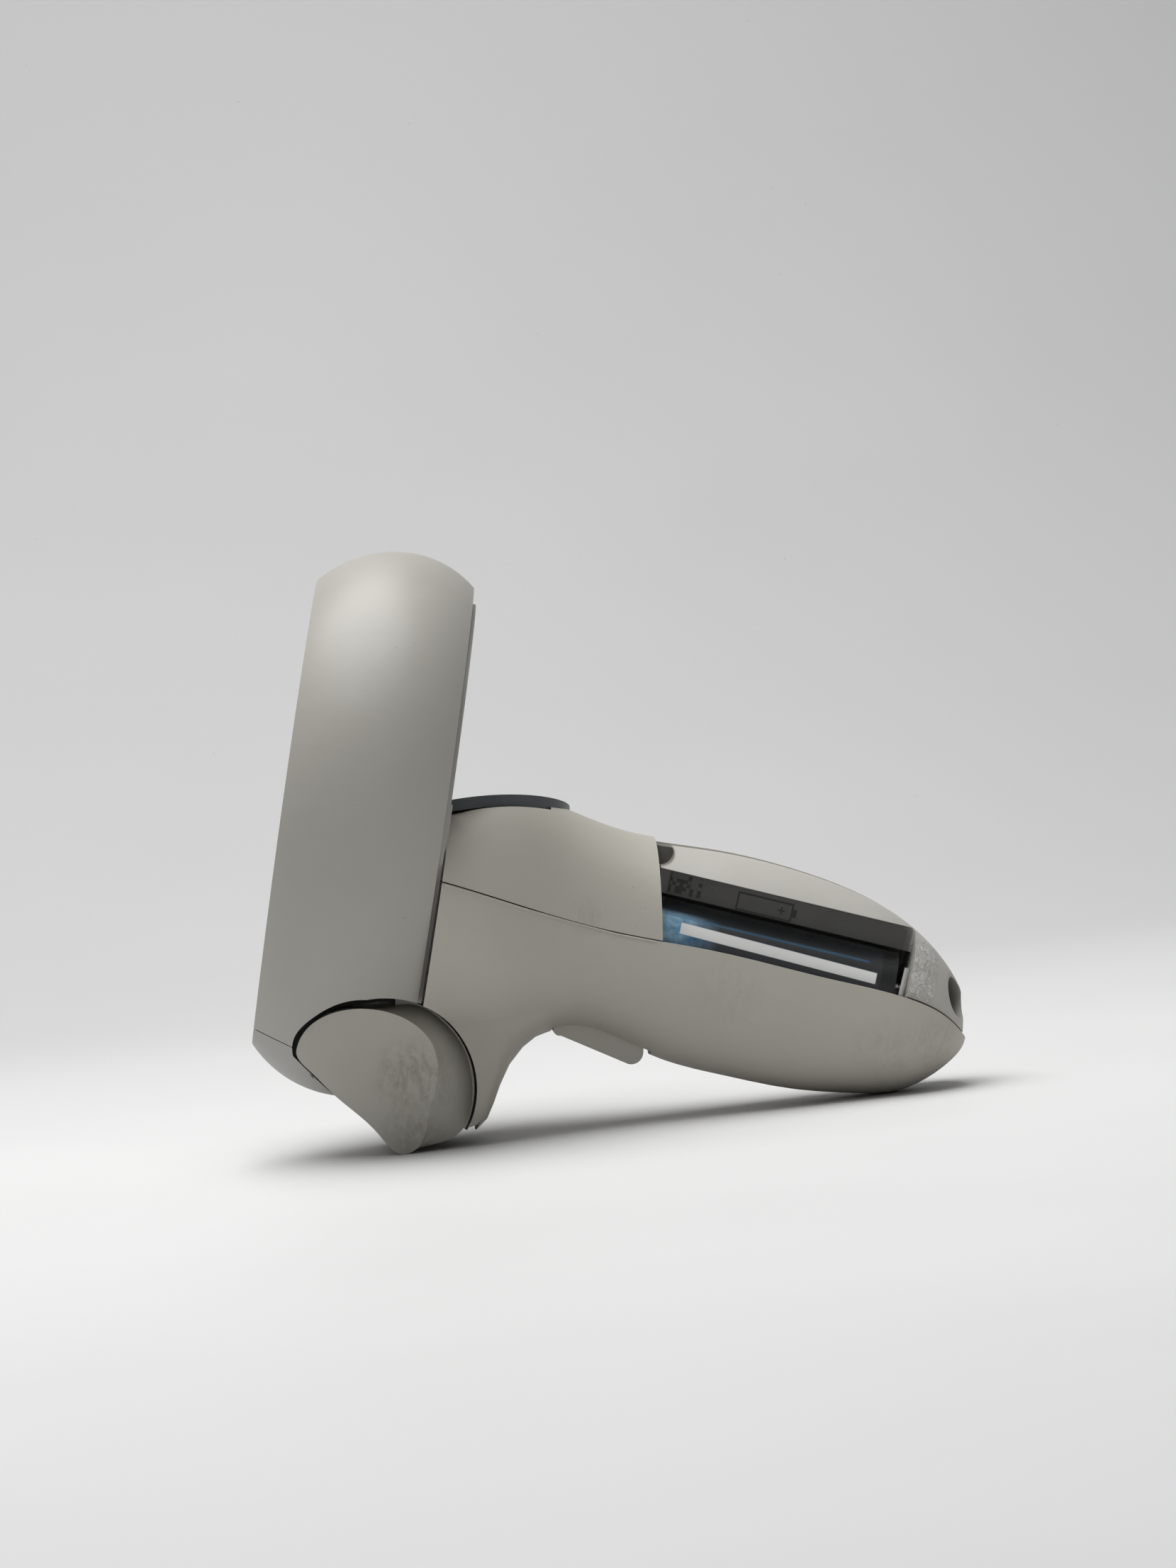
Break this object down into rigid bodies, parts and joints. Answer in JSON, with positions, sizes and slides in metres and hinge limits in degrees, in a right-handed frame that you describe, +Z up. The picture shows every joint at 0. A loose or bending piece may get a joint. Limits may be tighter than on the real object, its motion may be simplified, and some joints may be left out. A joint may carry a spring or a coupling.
{
  "type": "handheld motion controller",
  "caption": "Handheld motion controller with a tracking ring, trigger, thumb stick and buttons, its battery bay open with a cell inside.",
  "frame": {"origin": "middle of the bounding box's bottom, on the plane that the controller lies on", "axes": "+X from the ring towards the end of the handle, +Z up, -Y the side with the open battery bay"},
  "size_m": [0.1174, 0.08, 0.0983],
  "materials": {
    "ring_shell": "fine matte grain, warm light grey",
    "ring_inner": "smooth matte, light grey rim",
    "body_shell": "fine matte grain, warm light grey, scuffed",
    "foot_shell": "fine matte grain, warm light grey",
    "trigger_shell": "matte with a scuffed glossy bevel",
    "bay_plastic": "matte grey moulding",
    "liner": "dark scratched label",
    "face_plate": "satin dark grey",
    "stick_plastic": "satin dark plastic",
    "stick_rubber": "matte grippy cap",
    "button_plastic": "satin dark plastic",
    "mat_rubber": "soft silicone",
    "frame_plastic": "matte black moulding",
    "circuit_board": "green solder mask",
    "led": "dark infrared lens",
    "cell_label": "dark printed sleeve",
    "steel": "plain steel",
    "spring_steel": "bright spring wire",
    "contact_plate": "nickel plated",
    "motor_can": "bare metal can"
  },
  "bodies": {
    "frame": {"ring_outer_shell": "ring_shell", "ring_inner_shell": "ring_inner", "ring_foot": "foot_shell", "ring_led_board": "circuit_board", "ring_leds": "led", "front_cover": "body_shell", "upper_shell": "body_shell", "lower_shell": "body_shell", "face_plate": "face_plate", "battery_bay": "bay_plastic", "bay_liner": "liner", "battery_cell": "cell_label", "cell_spring": "spring_steel", "cell_contact": "contact_plate", "stick_housing": "frame_plastic", "button_mat": "mat_rubber", "mid_frame": "frame_plastic", "main_board": "circuit_board", "board_screws": "steel", "haptic_motor": "motor_can", "trigger_pin": "steel", "trigger_bracket": "frame_plastic", "trigger_spring": "spring_steel", "grip_pin": "steel", "grip_spring": "spring_steel"},
    "trigger": {"trigger": "trigger_shell"},
    "grip": {"grip_button": "trigger_shell"},
    "stick_gimbal": {"stick_yoke": "frame_plastic"},
    "stick_tilter": {"stick_hub": "frame_plastic"},
    "stick": {"stick_shaft": "stick_plastic", "stick_cap": "stick_rubber"},
    "button_a": {"button_front": "button_plastic"},
    "button_b": {"button_rear": "button_plastic"},
    "button_home": {"home_button": "button_plastic"}
  },
  "joints": [
    {"name": "trigger_pivot", "type": "hinge", "parent": "frame", "child": "trigger", "pos_m": [-0.04722, 0, 0.02081], "axis": [0, -1, 0], "range_deg": [0, 5], "stiffness_Nm_per_rad": 0.35, "springref_deg": -14.32, "deforming": ["trigger_spring"]},
    {"name": "grip_pivot", "type": "hinge", "parent": "frame", "child": "grip", "pos_m": [-0.00721, 0, 0.01954], "axis": [0, -1, 0], "range_deg": [0, 7], "stiffness_Nm_per_rad": 0.2, "springref_deg": -6.88, "deforming": ["grip_spring"]},
    {"name": "stick_side_tilt", "type": "hinge", "parent": "frame", "child": "stick_gimbal", "pos_m": [-0.03263, -0.00818, 0.04458], "axis": [0.9957, 0, 0.0926], "range_deg": [-15, 15], "stiffness_Nm_per_rad": 0.03},
    {"name": "stick_fore_tilt", "type": "hinge", "parent": "stick_gimbal", "child": "stick_tilter", "pos_m": [-0.03263, -0.00818, 0.04458], "axis": [0.0129, 0.9903, -0.1386], "range_deg": [-15, 15], "stiffness_Nm_per_rad": 0.03},
    {"name": "stick_click", "type": "slide", "parent": "stick_tilter", "child": "stick", "axis": [0.0917, -0.1392, -0.986], "range_m": [0, 0.0005], "stiffness_N_per_m": 4000, "springref_m": -0.0003},
    {"name": "button_a_press", "type": "slide", "parent": "frame", "child": "button_a", "axis": [0.0917, -0.1392, -0.986], "range_m": [0, 0.0006], "stiffness_N_per_m": 1500, "springref_m": -0.0003},
    {"name": "button_b_press", "type": "slide", "parent": "frame", "child": "button_b", "axis": [0.0917, -0.1392, -0.986], "range_m": [0, 0.0006], "stiffness_N_per_m": 1500, "springref_m": -0.0003},
    {"name": "button_home_press", "type": "slide", "parent": "frame", "child": "button_home", "axis": [0.0917, -0.1392, -0.986], "range_m": [0, 0.0004], "stiffness_N_per_m": 1500, "springref_m": -0.0003}
  ]
}
